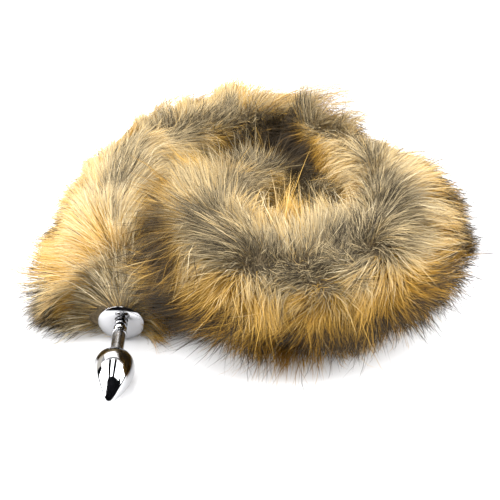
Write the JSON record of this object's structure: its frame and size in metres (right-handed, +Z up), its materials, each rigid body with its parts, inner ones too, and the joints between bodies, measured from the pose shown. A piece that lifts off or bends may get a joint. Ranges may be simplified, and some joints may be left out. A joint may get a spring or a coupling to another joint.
{
  "type": "coiled faux-fur costume tail on a polished metal plug fitting",
  "caption": "Long, thick faux-fur costume tail lying in a flat coil, with a polished metal plug of domed flange, collar, stem and teardrop bulb at its end.",
  "frame": {"origin": "on the surface under the middle of the part's box", "axes": "+Z up from the surface, +Y from the plug's tip towards the back of the coil, +X to the right of that"},
  "size_m": [0.3282, 0.3116, 0.1018],
  "materials": {
    "metal": "mirror polished",
    "hidden_post": "plain turned",
    "fur": "deep imitation fur, grey roots, golden cream pile and black tips"
  },
  "bodies": {
    "root": {"plug_bulb": "metal", "flange": "metal", "tail_post": "hidden_post", "tail_fur": "fur"}
  },
  "joints": []
}
